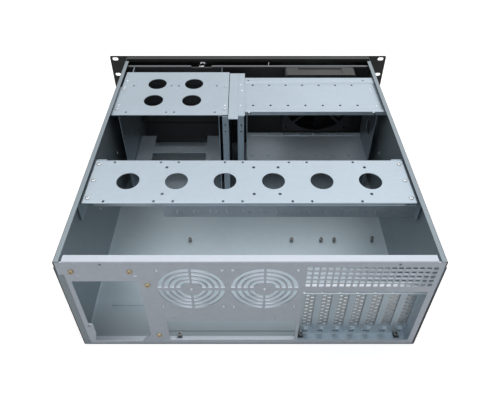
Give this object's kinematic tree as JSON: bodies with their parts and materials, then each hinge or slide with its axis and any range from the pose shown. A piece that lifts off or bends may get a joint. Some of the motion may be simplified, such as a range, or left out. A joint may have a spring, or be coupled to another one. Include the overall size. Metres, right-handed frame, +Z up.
{
  "type": "rackmount server case",
  "caption": "Open empty rackmount server case with drive cages, cross brace, perforated rear panel, slotted card covers, hinged front door, handles and front fan.",
  "frame": {"origin": "middle of the underside of the sheet-metal body", "axes": "+X across the case, to the left of someone who looks at its front from outside; +Y from the front panel to the rear panel; +Z up"},
  "size_m": [0.4826, 0.4678, 0.1765],
  "materials": {
    "zinc_sheet": "galvanised sheet, cool grey, fine spangle",
    "dark_zinc": "galvanised sheet seen in shade",
    "black_paint": "fine-texture black powder coat",
    "zinc_screw": "bright zinc plate",
    "brass_post": "machined brass",
    "nickel_lock": "nickel plate",
    "black_plastic": "moulded black plastic",
    "black_gloss": "moulded black plastic, smooth",
    "filter_foam": "open black foam",
    "circuit_green": "green solder mask",
    "lamp_lens": "tinted clear plastic"
  },
  "bodies": {
    "case": {"bay_blank_1": "black_plastic", "bay_blank_2": "black_plastic", "bay_blank_3": "black_plastic", "bay_cage_top": "zinc_sheet", "bay_shelf": "zinc_sheet", "bay_wall_left": "zinc_sheet", "bay_wall_right": "zinc_sheet", "board_standoffs": "brass_post", "brace_screws": "zinc_screw", "brace_shelf_left": "zinc_sheet", "brace_shelf_right": "zinc_sheet", "bulkhead": "black_paint", "cage_screws": "zinc_screw", "card_comb": "zinc_sheet", "channel_strip": "zinc_sheet", "channel_top": "zinc_sheet", "channel_wall_left": "zinc_sheet", "channel_wall_right": "zinc_sheet", "chassis_body": "zinc_sheet", "control_board": "circuit_green", "drive_wall_left": "zinc_sheet", "drive_wall_right": "zinc_sheet", "dust_filter": "filter_foam", "filter_frame": "black_plastic", "front_fan_frame": "black_plastic", "front_fan_screws": "zinc_screw", "front_panel": "black_paint", "handle_left": "black_paint", "handle_right": "black_paint", "handle_screws": "zinc_screw", "lower_tray": "zinc_sheet", "mid_brace": "zinc_sheet", "panel_switches": "black_gloss", "rear_panel": "zinc_sheet", "rear_screws": "zinc_screw", "slot_cover_1": "zinc_sheet", "slot_cover_2": "zinc_sheet", "slot_cover_3": "zinc_sheet", "slot_cover_4": "zinc_sheet", "slot_cover_5": "zinc_sheet", "slot_cover_6": "zinc_sheet", "slot_cover_7": "zinc_sheet", "slot_frame": "zinc_sheet", "slot_screws": "zinc_screw", "status_leds": "lamp_lens", "upper_tray": "zinc_sheet", "usb_sockets": "zinc_screw"},
    "door": {"door": "black_paint", "hinge_pins": "zinc_screw", "lock_barrel": "nickel_lock", "lock_nut": "zinc_screw"},
    "lock": {"lock_plug": "nickel_lock", "lock_cam": "zinc_screw"},
    "power_button": {"power_button": "black_gloss"},
    "reset_button": {"reset_button": "black_gloss"},
    "fan_rotor": {"front_fan_rotor": "black_plastic"}
  },
  "joints": [
    {"name": "door_hinge", "type": "hinge", "parent": "case", "child": "door", "pos_m": [0.08, -0.2125, 0.0115], "axis": [1, 0, 0], "range_deg": [0, 90]},
    {"name": "lock_turn", "type": "hinge", "parent": "door", "child": "lock", "pos_m": [0.08, -0.21, 0.158], "axis": [0, -1, 0], "range_deg": [0, 90]},
    {"name": "power_press", "type": "slide", "parent": "case", "child": "power_button", "axis": [0, 1, 0], "range_m": [0, 0.0015], "stiffness_N_per_m": 600, "springref_m": -0.001},
    {"name": "reset_press", "type": "slide", "parent": "case", "child": "reset_button", "axis": [0, 1, 0], "range_m": [0, 0.0015], "stiffness_N_per_m": 500, "springref_m": -0.001},
    {"name": "fan_spin", "type": "hinge", "parent": "case", "child": "fan_rotor", "pos_m": [-0.122, -0.175, 0.1106], "axis": [0, 1, 0], "continuous": true}
  ]
}
